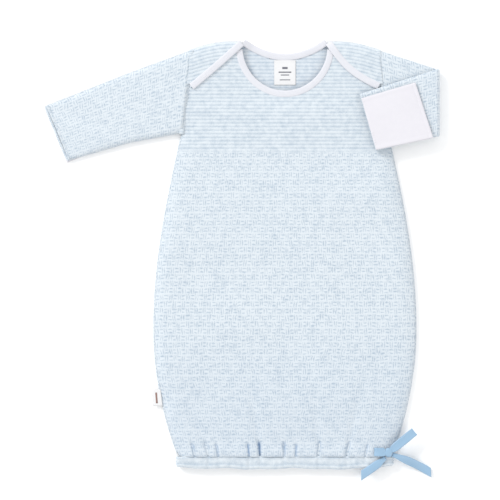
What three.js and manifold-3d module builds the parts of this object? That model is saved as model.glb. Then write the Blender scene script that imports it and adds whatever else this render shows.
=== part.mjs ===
// A newborn's knitted gown, laid flat on its back: lapped shoulders, one sleeve straight and one
// folded back over the chest, fold-over mitts, a gathered elastic hem and a satin bow.
// Millimetres. X runs across the gown, +Y towards the neck, +Z up out of the front.
// The origin is on the underside of the back panel, on the centre line at half the length.
// Left and right are the wearer's, so left is +X.
import * as THREE from 'three';
import { mergeVertices } from 'three/addons/utils/BufferGeometryUtils.js';
import Module from 'manifold-3d';

const wasm = await Module();
wasm.setup();

// ---- cloth and clearances -------------------------------------------------------------------
const FABRIC = 1.0;            // knitted cloth
const GAP = 0.3;               // between one layer and the next
const LABEL_CLOTH = 0.6;       // woven label
const RIBBON = 0.5;            // satin ribbon
const SEAM_WIDTH = 3.0;        // sewn side seam, across
const ARMHOLE_SEAM = 1.6;      // sewn armhole seam, across

// ---- body -----------------------------------------------------------------------------------
const BODY_LENGTH = 513;       // neck point to hem
const SHOULDER_HALF = 112;     // centre line to the top of the armhole
const SHOULDER_DROP = 9;       // neck point down to the top of the armhole
const SHOULDER_BULGE = 3.5;    // how far the shoulder stands above a straight line
const NECK_HALF = 50;          // centre line to the neck point
const ARMHOLE_DEPTH = 102;     // top of the armhole down to the armpit
const ARMPIT_HALF = 124.5;
const SKIRT_HALF = 158;        // widest place
const SKIRT_WIDEST_UP = 167;   // hem to the widest place
const HEM_HALF = 121;
const HEM_BAND = 20;           // height of the casing
const HEM_ROUND = 0.8;         // below 1 the skirt comes in later and more suddenly
const EDGE_TOP = 2.9;          // top of the front along a closed edge
const EDGE_ROLL = 26;          // over this width the front rises from its edge
const SKIRT_PUFF = 1.7;        // the skirt stands this much above the yoke
const SKIRT_START = 30;        // armpit down to the top of that rise
const SKIRT_RISE = 55;         // over this length

// ---- neck -----------------------------------------------------------------------------------
const BINDING = 8;             // bound edge, across
const FRONT_NECK_HALF = 55;    // to the middle of the binding
const FRONT_NECK_DEPTH = 57;
const FRONT_NECK_TOP_DOWN = 6; // neck point down to the ends of the front binding
const BACK_NECK_DIP = 18;
const LAP_LENGTH = 57;         // neck point down to the tip of the lap, along Y
const LAP_SAG_LEFT = 6;
const LAP_SAG_RIGHT = 0.5;
const LAP_STEP = 20;           // over this length the front drops to pass under the laps

// ---- sleeves --------------------------------------------------------------------------------
const SLEEVE_LOFT = 6.6;       // height of a sleeve lying flat
const SLEEVE_TO_FOLD = 74;     // top of the armhole across to the elbow fold
const ELBOW_WIDTH_LEFT = 80;
const ELBOW_WIDTH_RIGHT = 83.4;
const ELBOW_DROP_LEFT = 25;    // top of the armhole down to the top of the elbow
const ELBOW_DROP_RIGHT = 29;
const CUFF_WIDTH = 70;
const FOREARM_LEFT = 96.5;     // elbow to the top of the cuff, along X
const FOREARM_RIGHT = 104;
const CUFF_DROP_LEFT = 30;     // top of the elbow down to the top of the cuff
const CUFF_DROP_RIGHT = 41;
const CUFF_TURN_LEFT = 16;     // degrees from Y to the line of the cuff
const CUFF_TURN_RIGHT = 22.5;
const ARMPIT_CLEAR = 2;        // the sleeve starts this much above the armpit
const SLEEVE_EDGE = 3;         // rolled edge at the cuff
const MITT_LENGTH = 67;
const MITT_WIDTH = 66;
const MITT_DOWN_LEFT = 4;      // top of the cuff down to the mitt
const MITT_DOWN_RIGHT = 6;
const OVERLOCK = 2.2;          // overlocked seam between mitt and cuff

// ---- labels, elastic and bow ----------------------------------------------------------------
const LABEL_WIDTH = 26;
const LABEL_LENGTH = 30;
const TAB_WIDTH = 20;
const TAB_LENGTH = 10;
const TAB_UP = 85;             // hem to the middle of the tab
const CASING_WALL = 0.8;
const HEM_OPENING = 4.6;       // between the casing's front and its back
const ELASTIC = 0.8;
const RIBBON_WIDTH = 10;
const KNOT = [9.6, 12, 5];
const LOOP_HEIGHT = 3;
const LOOP_LEFT = 34;
const LOOP_RIGHT = 12;
const TAIL_ROOT = 4;           // width of a tail where it leaves the knot
const TAIL_FLARE = 9;          // length over which it widens
const TAIL_LEFT = 52;
const TAIL_RIGHT = 36;

// ---- levels that follow ---------------------------------------------------------------------
const NECK_Y = BODY_LENGTH / 2;
const HEM_Y = -BODY_LENGTH / 2;
const HEM_TOP_Y = HEM_Y + HEM_BAND;
const SHOULDER_Y = NECK_Y - SHOULDER_DROP;
const ARMPIT_Y = SHOULDER_Y - ARMHOLE_DEPTH;
const WIDEST_Y = HEM_Y + SKIRT_WIDEST_UP;
const SLEEVE_BOTTOM = FABRIC + GAP;
const LAP_CLEARANCE = SLEEVE_LOFT / 11;    // the front's edge gets steeper with the loft
const SLEEVE_TOP = SLEEVE_BOTTOM + SLEEVE_LOFT;
const FOLD_Z = SLEEVE_TOP + GAP;
const FOLD_X = SHOULDER_HALF + SLEEVE_TO_FOLD;
const CASING_THICK = 2 * CASING_WALL + ELASTIC + 2 * GAP;
const HEM_HEIGHT = 2 * CASING_THICK + HEM_OPENING;
const LAP_TIP_Y = NECK_Y - LAP_LENGTH;
const LAP_STEP_Y = LAP_TIP_Y - BINDING;

const smooth = (a, b, v) => THREE.MathUtils.smoothstep(v, a, b);
const lerp = THREE.MathUtils.lerp;

// ---- grids ----------------------------------------------------------------------------------
const PANEL_STEP = 13;
const LAP_GRID = 8;
const NECK_ARC = 8;
const NECK_STEPS = 15;
const SHOULDER_STEPS = 6;
const SIDE_STEPS = 16;
const RING_ARC = 6;
const LOOP_ARC = 8;
const CLEAR_BELOW = -5;        // past every surface, for cutting cloth to its outline
const CLEAR_ABOVE = 40;

// ---- solids ---------------------------------------------------------------------------------
function toSolid(geometry) {
  geometry.deleteAttribute('normal');
  geometry.deleteAttribute('uv');
  const merged = mergeVertices(geometry, 1e-4);
  const vertProperties = Float32Array.from(merged.attributes.position.array);
  return new wasm.Manifold(
    new wasm.Mesh({ numProp: 3, vertProperties, triVerts: Uint32Array.from(merged.index.array) }));
}

function toGeometry(solid) {
  const { vertProperties, triVerts } = solid.getMesh();
  const geometry = new THREE.BufferGeometry();
  geometry.setAttribute('position', new THREE.BufferAttribute(Float32Array.from(vertProperties), 3));
  geometry.setIndex(Array.from(triVerts));
  return geometry;
}

const points = list => list.map(([x, y]) => new THREE.Vector2(x, y));

// A flat outline raised from z0 to z1.
function plate(outline, z0, z1) {
  const shape = new THREE.Shape(points(outline));
  const geometry = new THREE.ExtrudeGeometry(shape, { depth: z1 - z0, bevelEnabled: false });
  return geometry.translate(0, 0, z0);
}

// Cloth inside an outline, between two surfaces given by height.
function cloth(outline, bottomAt, topAt, step) {
  const box = new THREE.Box2().setFromPoints(points(outline)).expandByScalar(step / 4);
  const size = box.getSize(new THREE.Vector2());
  const centre = box.getCenter(new THREE.Vector2());
  const across = Math.ceil(size.x / step);
  const along = Math.ceil(size.y / step);
  const block = new THREE.BoxGeometry(size.x, size.y, 2, across, along, 1);
  block.translate(centre.x, centre.y, 0);
  const at = block.attributes.position;
  for (let i = 0; i < at.count; i += 1) {
    const height = at.getZ(i) > 0 ? topAt : bottomAt;
    at.setZ(i, height(at.getX(i), at.getY(i)));
  }
  return toSolid(block).intersect(toSolid(plate(outline, CLEAR_BELOW, CLEAR_ABOVE)));
}

// A strip of a given width along a line of points.
function strip(line, width) {
  const side = sign => line.map((p, i) => {
    const a = line[Math.max(i - 1, 0)];
    const b = line[Math.min(i + 1, line.length - 1)];
    const length = Math.hypot(b[0] - a[0], b[1] - a[1]);
    const shift = sign * width / 2 / length;
    return [p[0] - (b[1] - a[1]) * shift, p[1] + (b[0] - a[0]) * shift];
  });
  return [...side(1), ...side(-1).reverse()];
}

// A flattened ring between two edge points, inset from its outer skin.
function flatRing({ top, bottom, low, high }, inset) {
  const width = Math.hypot(top[0] - bottom[0], top[1] - bottom[1]);
  const along = [(top[0] - bottom[0]) / width, (top[1] - bottom[1]) / width];
  const outer = (high - low) / 2;
  const straight = width / 2 - outer;
  const centre = [(top[0] + bottom[0]) / 2, (top[1] + bottom[1]) / 2, (low + high) / 2];
  const ring = [];
  for (const end of [1, -1]) {
    for (let i = 0; i <= RING_ARC; i += 1) {
      const angle = end * Math.PI / 2 - Math.PI * i / RING_ARC + (end < 0 ? Math.PI : 0);
      const s = end * (straight + (outer - inset) * Math.cos(angle));
      const rise = (outer - inset) * Math.sin(angle) * (end > 0 ? 1 : -1);
      ring.push([centre[0] + along[0] * s, centre[1] + along[1] * s, centre[2] + rise]);
    }
  }
  return ring;
}

// A tube or cuff: a closed profile of [station, inset] pairs carried round a flattened ring.
function ringLoft(profile) {
  const rings = profile.map(([station, inset]) => flatRing(station, inset));
  const count = rings[0].length;
  const index = [];
  rings.forEach((_, r) => {
    const next = (r + 1) % rings.length;
    for (let i = 0; i < count; i += 1) {
      const j = (i + 1) % count;
      const [a, b, c, d] = [r * count + i, r * count + j, next * count + j, next * count + i];
      index.push(a, b, c, a, c, d);
    }
  });
  const geometry = new THREE.BufferGeometry();
  geometry.setAttribute('position', new THREE.Float32BufferAttribute(rings.flat(2), 3));
  geometry.setIndex(index);
  if (toSolid(geometry).volume() < 0) {
    geometry.setIndex(index.reverse());
  }
  return geometry;
}

const tube = (stations, wall) => ringLoft([
  ...stations.map(station => [station, 0]),
  ...[...stations].reverse().map(station => [station, wall]),
]);

// ---- the outline of the body ----------------------------------------------------------------
function sideHalf(y) {
  if (y > WIDEST_Y) {
    const t = (ARMPIT_Y - y) / (ARMPIT_Y - WIDEST_Y);
    return ARMPIT_HALF + (SKIRT_HALF - ARMPIT_HALF) * Math.sin(Math.PI / 2 * t);
  }
  const t = (WIDEST_Y - y) / SKIRT_WIDEST_UP;
  return HEM_HALF + (SKIRT_HALF - HEM_HALF) * Math.max(0, Math.cos(Math.PI / 2 * t)) ** HEM_ROUND;
}

const armholeHalf = y => lerp(ARMPIT_HALF, SHOULDER_HALF, (y - ARMPIT_Y) / ARMHOLE_DEPTH);

function shoulderY(x) {
  const t = (Math.abs(x) - NECK_HALF) / (SHOULDER_HALF - NECK_HALF);
  return NECK_Y - SHOULDER_DROP * t + SHOULDER_BULGE * Math.sin(Math.PI * THREE.MathUtils.clamp(t, 0, 1));
}

const mirrored = half => [...half, ...half.map(([x, y]) => [-x, y]).reverse()];
const range = (from, to, steps) =>
  Array.from({ length: steps + 1 }, (_, i) => lerp(from, to, i / steps));

// One half of a panel from the hem up to the neck point, held in from the outline.
function halfPanel(bottomY, sideInset, shoulderInset, neckX) {
  const armInset = ARMHOLE_SEAM / 2 + GAP;
  const armpit = ARMPIT_Y + GAP;
  return [
    ...range(bottomY, armpit - GAP, SIDE_STEPS).map(y => [sideHalf(y) - sideInset, y]),
    [ARMPIT_HALF - armInset, armpit + SEAM_WIDTH],
    [SHOULDER_HALF - armInset, SHOULDER_Y - shoulderInset],
    ...range(SHOULDER_HALF, neckX, SHOULDER_STEPS).slice(1).map(x => [x, shoulderY(x) - shoulderInset]),
  ];
}

const neckArc = (grow, steps) => range(0, Math.PI / 2, steps).map(a => [
  (FRONT_NECK_HALF + grow) * Math.cos(a),
  NECK_Y - FRONT_NECK_TOP_DOWN - (FRONT_NECK_DEPTH + grow) * Math.sin(a),
]);
const backNeckY = x => NECK_Y - BACK_NECK_DIP * (1 - (x / NECK_HALF) ** 2);

// ---- the height of the front ----------------------------------------------------------------
function edgeDistance(x, y) {
  const above = Math.max(0, y - ARMPIT_Y);
  const half = above > 0 ? armholeHalf(y) : sideHalf(y);
  const toSide = Math.hypot(Math.max(0, half - Math.abs(x)), above);
  return Math.max(0, Math.min(toSide, shoulderY(x) - y));
}

function frontTop(x, y) {
  const lapStep = (FABRIC + LAP_CLEARANCE) * smooth(LAP_STEP_Y - LAP_STEP, LAP_STEP_Y, y);
  const skirtTop = ARMPIT_Y - SKIRT_START;
  const puff = SKIRT_PUFF * (1 - smooth(skirtTop - SKIRT_RISE, skirtTop, y));
  const crown = SLEEVE_TOP - lapStep + puff;
  const t = Math.min(1, edgeDistance(x, y) / EDGE_ROLL);
  return EDGE_TOP + (crown - EDGE_TOP) * t * (2 - t);
}

const group = new THREE.Group();
const KNIT = { color: 0xd9e6f0, roughness: 0.95, metalness: 0 };
const WHITE = { color: 0xf2f2f5, roughness: 0.9, metalness: 0 };
const SATIN = { color: 0xa9cfeb, roughness: 0.4, metalness: 0 };

function add(name, solid, finish, parent = group) {
  const geometry = solid.isBufferGeometry ? solid : toGeometry(solid);
  const mesh = new THREE.Mesh(geometry, new THREE.MeshStandardMaterial(finish));
  mesh.name = name;
  parent.add(mesh);
  return mesh;
}

// ---- body panels ----------------------------------------------------------------------------
const seamInset = SEAM_WIDTH + GAP;
const frontHalf = [
  ...halfPanel(HEM_TOP_Y + GAP, seamInset, seamInset, FRONT_NECK_HALF + BINDING),
  ...neckArc(BINDING / 2 + GAP, NECK_ARC),
];
const frontLow = (x, y) => frontTop(x, y) - FABRIC;
add('front_panel', cloth(mirrored(frontHalf), frontLow, frontTop, PANEL_STEP), KNIT);

const neckLine = half => range(-half, half, NECK_STEPS).map(x => [x, backNeckY(x)]);
const backNeckLow = strip(neckLine(NECK_HALF + BINDING / 2), BINDING + 2 * GAP)
  .filter(([x], i) => i > NECK_STEPS && x > 0);
const backHalf = [...halfPanel(HEM_TOP_Y + GAP, seamInset, 0, NECK_HALF + BINDING), ...backNeckLow];
add('back_panel', plate(mirrored(backHalf), 0, FABRIC), KNIT);

for (const [side, name] of [[1, 'left'], [-1, 'right']]) {
  const edge = (inset, from, to) =>
    range(from, to, SIDE_STEPS).map(y => [side * (sideHalf(y) - inset), y]);
  const low = HEM_TOP_Y + FABRIC;
  const high = ARMPIT_Y - GAP;
  const outline = [...edge(0, low, high), ...edge(SEAM_WIDTH, high, low)];
  add(`side_seam_${name}`, plate(outline, 0, EDGE_TOP), KNIT);
}

// ---- neckline and lapped shoulders ----------------------------------------------------------
const frontBand = [
  ...mirrored(neckArc(BINDING / 2, NECK_ARC)),
  ...mirrored(neckArc(-BINDING / 2, NECK_ARC)).reverse(),
];
add('front_neck_binding', cloth(frontBand, frontLow, frontTop, PANEL_STEP), WHITE);
add('back_neck_binding', plate(strip(neckLine(NECK_HALF - 1), BINDING), 0, FABRIC), WHITE);

const overFront = (x, y) => frontTop(x, y) + LAP_CLEARANCE;
for (const [side, name, sag] of [[1, 'left', LAP_SAG_LEFT], [-1, 'right', LAP_SAG_RIGHT]]) {
  const start = [NECK_HALF + BINDING / 2, NECK_Y - BINDING / 2];
  const end = [armholeHalf(LAP_TIP_Y) - BINDING, LAP_TIP_Y + BINDING / 2];
  const edge = range(0, 1, NECK_ARC).map(t => [
    lerp(start[0], end[0], t) - sag * Math.sin(Math.PI * t),
    lerp(start[1], end[1], t) - sag * Math.sin(Math.PI * t),
  ]);
  const flip = list => list.map(([x, y]) => [side * x, y]);
  const inner = strip(edge, BINDING + 2 * GAP).slice(0, edge.length);
  const cornerY = LAP_TIP_Y + BINDING;
  const armInset = ARMHOLE_SEAM / 2 + GAP;
  const lap = [
    ...inner,
    [armholeHalf(cornerY) - armInset, cornerY],
    [SHOULDER_HALF - armInset, SHOULDER_Y],
    ...range(SHOULDER_HALF, NECK_HALF + BINDING, SHOULDER_STEPS).slice(1).map(x => [x, shoulderY(x)]),
  ];
  const wrap = range(NECK_HALF + BINDING, SHOULDER_HALF - SEAM_WIDTH, SHOULDER_STEPS)
    .map(x => [x, shoulderY(x) - SEAM_WIDTH / 2 + GAP]);
  const top = (x, y) => overFront(x, y) + FABRIC;
  const flap = cloth(flip(lap), overFront, top, LAP_GRID);
  const turn = cloth(flip(strip(wrap, SEAM_WIDTH - 2 * GAP)), () => SLEEVE_BOTTOM, top, LAP_GRID);
  add(`shoulder_lap_${name}`, flap.add(turn), KNIT);
  const bound = flip(strip(edge, BINDING));
  add(`lap_binding_${name}`, cloth(bound, overFront, top, LAP_GRID), WHITE);
}

// ---- sleeves --------------------------------------------------------------------------------
// Each sleeve is a tube lying flat. A station is the line across it from its upper edge to its
// lower edge, with the heights of its two faces.
function sleeve(side, name, elbowWidth, elbowDrop, reach, cuffDrop, cuffTurn, folded) {
  const level = { low: SLEEVE_BOTTOM, high: SLEEVE_TOP };
  const over = { low: 2 * FOLD_Z - SLEEVE_TOP, high: 2 * FOLD_Z - SLEEVE_BOTTOM };
  const across = (x, yTop, xLow, yLow, heights) =>
    ({ top: [side * x, yTop], bottom: [side * xLow, yLow], ...heights });
  const armhole = shift => across(
    SHOULDER_HALF + shift, SHOULDER_Y, ARMPIT_HALF + shift, ARMPIT_Y + ARMPIT_CLEAR, level);
  const elbowTop = SHOULDER_Y - elbowDrop;
  const elbowLow = elbowTop - elbowWidth;
  const half = ARMHOLE_SEAM / 2;
  const bend = 0.35;
  const middle = across(
    lerp(SHOULDER_HALF, FOLD_X, bend), lerp(SHOULDER_Y, elbowTop, bend),
    lerp(ARMPIT_HALF, FOLD_X, bend), lerp(ARMPIT_Y + ARMPIT_CLEAR, elbowLow, bend * bend), level);
  const elbow = across(FOLD_X - GAP, elbowTop, FOLD_X - GAP, elbowLow, level);
  add(`armhole_seam_${name}`, tube([armhole(-half), armhole(half)], FABRIC), KNIT);
  add(`upper_sleeve_${name}`, tube([armhole(half + GAP), middle, elbow], FABRIC), KNIT);

  const way = folded ? -1 : 1;
  const heights = folded ? over : level;
  const turn = THREE.MathUtils.degToRad(cuffTurn);
  const cuffLine = [-way * Math.sin(turn), -Math.cos(turn)];
  const outward = [way * Math.cos(turn), -Math.sin(turn)];
  const cuffTop = [FOLD_X + way * reach, elbowTop - cuffDrop];
  const cuff = back => {
    const [x, y] = [cuffTop[0] - outward[0] * back, cuffTop[1] - outward[1] * back];
    return across(x, y, x + cuffLine[0] * CUFF_WIDTH, y + cuffLine[1] * CUFF_WIDTH, heights);
  };
  const start = FOLD_X + way * GAP;
  const root = across(start, elbowTop, start, elbowLow, heights);
  add(`lower_sleeve_${name}`, tube([root, cuff(SLEEVE_EDGE + GAP)], FABRIC), KNIT);
  add(`sleeve_edge_${name}`, tube([cuff(SLEEVE_EDGE), cuff(0)], FABRIC), KNIT);

  // The mitt lies on the outside of the sleeve's back layer, turned away from the hand.
  const flapLow = folded ? heights.high + GAP : 0;
  const at = (along, back) => [
    side * (cuffTop[0] + cuffLine[0] * along - outward[0] * back),
    cuffTop[1] + cuffLine[1] * along - outward[1] * back,
  ];
  const from = folded ? MITT_DOWN_LEFT : MITT_DOWN_RIGHT;
  const rectangle = (near, far) =>
    [at(from, near), at(from + MITT_WIDTH, near), at(from + MITT_WIDTH, far), at(from, far)];
  const flap = plate(rectangle(OVERLOCK + GAP, MITT_LENGTH), flapLow, flapLow + FABRIC);
  add(`mitt_flap_${name}`, toSolid(flap), WHITE);
  const seam = plate(rectangle(GAP, OVERLOCK), flapLow, flapLow + FABRIC);
  add(`mitt_overlock_${name}`, toSolid(seam), WHITE);
}
sleeve(1, 'left', ELBOW_WIDTH_LEFT, ELBOW_DROP_LEFT, FOREARM_LEFT, CUFF_DROP_LEFT, CUFF_TURN_LEFT, true);
sleeve(-1, 'right', ELBOW_WIDTH_RIGHT, ELBOW_DROP_RIGHT, FOREARM_RIGHT, CUFF_DROP_RIGHT,
  CUFF_TURN_RIGHT, false);

// ---- hem: a casing folded round an elastic --------------------------------------------------
const hemStation = y => ({
  top: [sideHalf(y), y], bottom: [-sideHalf(y), y], low: 0, high: HEM_HEIGHT,
});
const hemFloor = HEM_Y + CASING_WALL;
add('hem_casing', ringLoft([
  [hemStation(HEM_TOP_Y), 0],
  [hemStation(HEM_Y), 0],
  [hemStation(HEM_Y), CASING_THICK],
  [hemStation(HEM_TOP_Y), CASING_THICK],
  [hemStation(HEM_TOP_Y), CASING_THICK - CASING_WALL],
  [hemStation(hemFloor), CASING_THICK - CASING_WALL],
  [hemStation(hemFloor), CASING_WALL],
  [hemStation(HEM_TOP_Y), CASING_WALL],
]), KNIT);
const elasticInset = CASING_WALL + GAP;
add('hem_elastic', ringLoft([
  [hemStation(HEM_TOP_Y - 1), elasticInset],
  [hemStation(hemFloor + GAP), elasticInset],
  [hemStation(hemFloor + GAP), elasticInset + ELASTIC],
  [hemStation(HEM_TOP_Y - 1), elasticInset + ELASTIC],
]), WHITE);

// ---- labels ---------------------------------------------------------------------------------
const labelTop = backNeckY(0) - BINDING / 2 - GAP;
const label = new THREE.BoxGeometry(LABEL_WIDTH, LABEL_LENGTH, LABEL_CLOTH);
add('neck_label', label, WHITE)
  .position.set(0, labelTop - LABEL_LENGTH / 2, FABRIC + GAP + LABEL_CLOTH / 2);

const tabY = HEM_Y + TAB_UP;
const tabInner = sideHalf(tabY + TAB_WIDTH / 2) - SEAM_WIDTH + GAP;
const tab = new THREE.BoxGeometry(TAB_LENGTH, TAB_WIDTH, LABEL_CLOTH);
add('side_tab', tab, WHITE)
  .position.set(-tabInner - TAB_LENGTH / 2, tabY, EDGE_TOP + GAP + LABEL_CLOTH / 2);

// ---- bow on the hem -------------------------------------------------------------------------
const bow = new THREE.Group();
const BOW_INSET = 6.5;
bow.position.set(sideHalf(HEM_TOP_Y) - BOW_INSET, HEM_TOP_Y, HEM_HEIGHT + GAP);
group.add(bow);
const knot = new THREE.BoxGeometry(...KNOT, 3, 3, 2);
add('bow_knot', knot, SATIN, bow).position.z = KNOT[2] / 2;

// A loop of ribbon lying flat: a long ring, seen from its edge, as wide as the ribbon.
function ribbonLoop(length) {
  const lens = inset => {
    const r = LOOP_HEIGHT / 2 - inset;
    const path = new THREE.Path();
    path.absarc(LOOP_HEIGHT / 2, 0, r, Math.PI / 2, Math.PI * 3 / 2, false);
    path.absarc(length - LOOP_HEIGHT / 2, 0, r, -Math.PI / 2, Math.PI / 2, false);
    return path.getPoints(LOOP_ARC);
  };
  const shape = new THREE.Shape(lens(0));
  shape.holes.push(new THREE.Path(lens(RIBBON)));
  const loop = new THREE.ExtrudeGeometry(
    shape, { depth: RIBBON_WIDTH, bevelEnabled: false, curveSegments: LOOP_ARC });
  loop.translate(0, 0, -RIBBON_WIDTH / 2);
  return loop.rotateX(Math.PI / 2);
}

// A tail of ribbon, gathered where it leaves the knot and cut at an angle at its end.
function ribbonTail(length) {
  const half = RIBBON_WIDTH / 2;
  return plate([
    [0, -TAIL_ROOT / 2], [TAIL_FLARE, -half], [length, -half],
    [length - half, half], [TAIL_FLARE, half], [0, TAIL_ROOT / 2],
  ], 0, RIBBON);
}

const loopLevel = 2 * GAP + RIBBON + LOOP_HEIGHT / 2;
// Each row gives a piece's place about the knot, its heading and its dip in degrees.
const pieces = [
  ['bow_loop_left', ribbonLoop(LOOP_LEFT), [KNOT[0] / 2 + 3.4, 2, loopLevel], 39, 0],
  ['bow_loop_right', ribbonLoop(LOOP_RIGHT), [-KNOT[0] / 2 - GAP, 0, loopLevel], 180, 0],
  ['bow_tail_left', ribbonTail(TAIL_LEFT), [KNOT[0] / 2 + 1.4, -3.9, GAP], -25.6, 10.8],
  ['bow_tail_right', ribbonTail(TAIL_RIGHT), [-KNOT[0] / 2 + 0.8, -KNOT[1] / 2 - 1.7, GAP], -144, 0],
];
for (const [name, geometry, place, heading, dip] of pieces) {
  const piece = add(name, geometry, SATIN, bow);
  piece.position.set(...place);
  piece.rotation.set(0, THREE.MathUtils.degToRad(dip), THREE.MathUtils.degToRad(heading), 'ZYX');
}

export default group;
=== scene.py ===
# %% [markdown]
# # A newborn's knitted gown, laid flat
# The CAD model gives every piece its place and its size. This script builds the cloth around it:
# one knitted shell for each panel and sleeve, bound edges, stitches, labels, and a satin bow.
# Everything is in metres in the CAD frame; some of the sizes below come from the CAD nodes, the
# rest are given here.

# %% Load the frame
import math

import bmesh
import bpy
import numpy as np
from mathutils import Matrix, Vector


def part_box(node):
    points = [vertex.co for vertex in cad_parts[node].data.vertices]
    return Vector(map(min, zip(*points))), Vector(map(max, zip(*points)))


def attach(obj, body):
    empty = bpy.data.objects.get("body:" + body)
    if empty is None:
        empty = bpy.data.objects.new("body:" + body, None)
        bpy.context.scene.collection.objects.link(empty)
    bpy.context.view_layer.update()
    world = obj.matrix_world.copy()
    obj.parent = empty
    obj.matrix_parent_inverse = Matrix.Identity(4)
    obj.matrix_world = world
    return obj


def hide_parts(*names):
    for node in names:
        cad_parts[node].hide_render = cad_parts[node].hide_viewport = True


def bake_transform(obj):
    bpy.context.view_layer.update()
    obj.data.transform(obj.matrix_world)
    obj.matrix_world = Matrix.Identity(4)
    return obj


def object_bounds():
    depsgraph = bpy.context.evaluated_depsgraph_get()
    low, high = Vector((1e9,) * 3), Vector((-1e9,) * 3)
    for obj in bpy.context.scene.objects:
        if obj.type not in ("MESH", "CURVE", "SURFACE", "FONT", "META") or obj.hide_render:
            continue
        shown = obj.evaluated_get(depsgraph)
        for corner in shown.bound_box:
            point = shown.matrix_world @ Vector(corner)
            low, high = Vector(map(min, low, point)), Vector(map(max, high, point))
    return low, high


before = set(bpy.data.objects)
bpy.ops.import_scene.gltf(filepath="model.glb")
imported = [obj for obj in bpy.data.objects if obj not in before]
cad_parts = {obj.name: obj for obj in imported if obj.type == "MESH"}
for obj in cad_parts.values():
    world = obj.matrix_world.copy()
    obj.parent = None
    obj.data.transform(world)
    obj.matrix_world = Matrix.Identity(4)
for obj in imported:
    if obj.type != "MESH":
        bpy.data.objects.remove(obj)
cad_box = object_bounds()
MM = 0.001
print("CAD box", cad_box)

# %% [markdown]
# ## Camera
# A gown for a catalogue lies on a white table and the camera looks straight down at it. A long
# lens from far away keeps the sleeves and the hem at one scale, as an orthographic view would, but
# a perspective camera can still be moved round the model by the other views.

# %% Camera
FIELD = 600 * MM            # width of table in the frame
CAMERA_HEIGHT = 3.0
VIEW_CENTRE = (-42 * MM, 6 * MM)
camera_data = bpy.data.cameras.new("camera")
camera_data.sensor_width = 36
camera_data.lens = camera_data.sensor_width * (CAMERA_HEIGHT - 8 * MM) / FIELD
camera_data.clip_end = 20
camera = bpy.data.objects.new("camera", camera_data)
camera.location = (*VIEW_CENTRE, CAMERA_HEIGHT)
bpy.context.scene.collection.objects.link(camera)
bpy.context.scene.camera = camera
print("lens", round(camera_data.lens, 1), "mm")

# %% [markdown]
# ## Table and light
# Pale cloth on a pale table shows its relief only where the light comes in low from one side, so
# one large soft lamp stands to the upper left and the sky fills the shadows nearly to white.

# %% Table and light
TABLE_HALF = 3.0
table_mesh = bpy.data.meshes.new("table")
table_mesh.from_pydata(
    [(-TABLE_HALF, -TABLE_HALF, 0), (TABLE_HALF, -TABLE_HALF, 0),
     (TABLE_HALF, TABLE_HALF, 0), (-TABLE_HALF, TABLE_HALF, 0)], [], [(0, 1, 2, 3)])
table = bpy.data.objects.new("table", table_mesh)
table.location.z = cad_box[0][2] - 0.3 * MM
bpy.context.scene.collection.objects.link(table)
table_finish = bpy.data.materials.new("table_white")
table_finish.use_nodes = True
table_shader = table_finish.node_tree.nodes["Principled BSDF"]
table_shader.inputs["Base Color"].default_value = (0.97, 0.97, 0.97, 1)
table_shader.inputs["Roughness"].default_value = 0.9
table_shader.inputs["Specular IOR Level"].default_value = 0.1
table_mesh.materials.append(table_finish)

world = bpy.data.worlds.new("studio")
world.use_nodes = True
world.node_tree.nodes["Background"].inputs["Color"].default_value = (0.985, 0.992, 1, 1)
world.node_tree.nodes["Background"].inputs["Strength"].default_value = 0.95
bpy.context.scene.world = world
bpy.context.scene.view_settings.view_transform = "Standard"


def soft_lamp(name, place, size, power):
    data = bpy.data.lights.new(name, "AREA")
    data.size = size
    data.energy = power
    lamp = bpy.data.objects.new(name, data)
    lamp.location = place
    lamp.rotation_euler = (-Vector(place)).to_track_quat("-Z", "Y").to_euler()
    bpy.context.scene.collection.objects.link(lamp)


soft_lamp("key_lamp", (-5.2, 4.8, 4.2), 2.6, 365)
soft_lamp("fill_lamp", (4.8, -3.2, 6.0), 5.2, 105)

# %% [markdown]
# ## Measures
# The body's outline is a rule: it widens from the armpit to the skirt along a quarter of a sine
# and comes in again to the gathered hem. Some of the numbers it needs come from the CAD nodes.


# %% Measures taken from the CAD nodes
def reach(node, side, axis):
    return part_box(node)[side][axis]


LOW, HIGH = 0, 1
X, Y, Z = 0, 1, 2
HEM_Y = reach("hem_casing", LOW, Y)
HEM_TOP_Y = reach("hem_casing", HIGH, Y)
HEM_HEIGHT = reach("hem_casing", HIGH, Z)
ARMPIT_Y = reach("side_seam_left", HIGH, Y)
SKIRT_HALF = reach("side_seam_left", HIGH, X)
SHOULDER_Y = reach("armhole_seam_left", HIGH, Y)
SLEEVE_LOW = reach("upper_sleeve_right", LOW, Z)
SLEEVE_HIGH = reach("upper_sleeve_right", HIGH, Z)
FRONT_HIGH = reach("front_panel", HIGH, Z)
NECK_Y = SHOULDER_Y + 9 * MM
SHOULDER_HALF = 112 * MM
ARMPIT_HALF = 124.5 * MM
HEM_HALF = 121 * MM
NECK_HALF = 50 * MM
FRONT_NECK = (55 * MM, 57 * MM)
FRONT_NECK_TOP = NECK_Y - 6 * MM
BACK_NECK_DIP = 18 * MM
LAP_TIP_Y = NECK_Y - 57 * MM
WIDEST_Y = HEM_Y + 167 * MM
YOKE_Y = 124 * MM
TAB_Y = (reach("side_tab", LOW, Y) + reach("side_tab", HIGH, Y)) / 2
CLOTH = 1.0 * MM
BINDING = 8 * MM


def smooth(a, b, v):
    t = np.clip((v - a) / (b - a), 0, 1)
    return t * t * (3 - 2 * t)


def mix(a, b, t):
    return a + (b - a) * t


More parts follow.
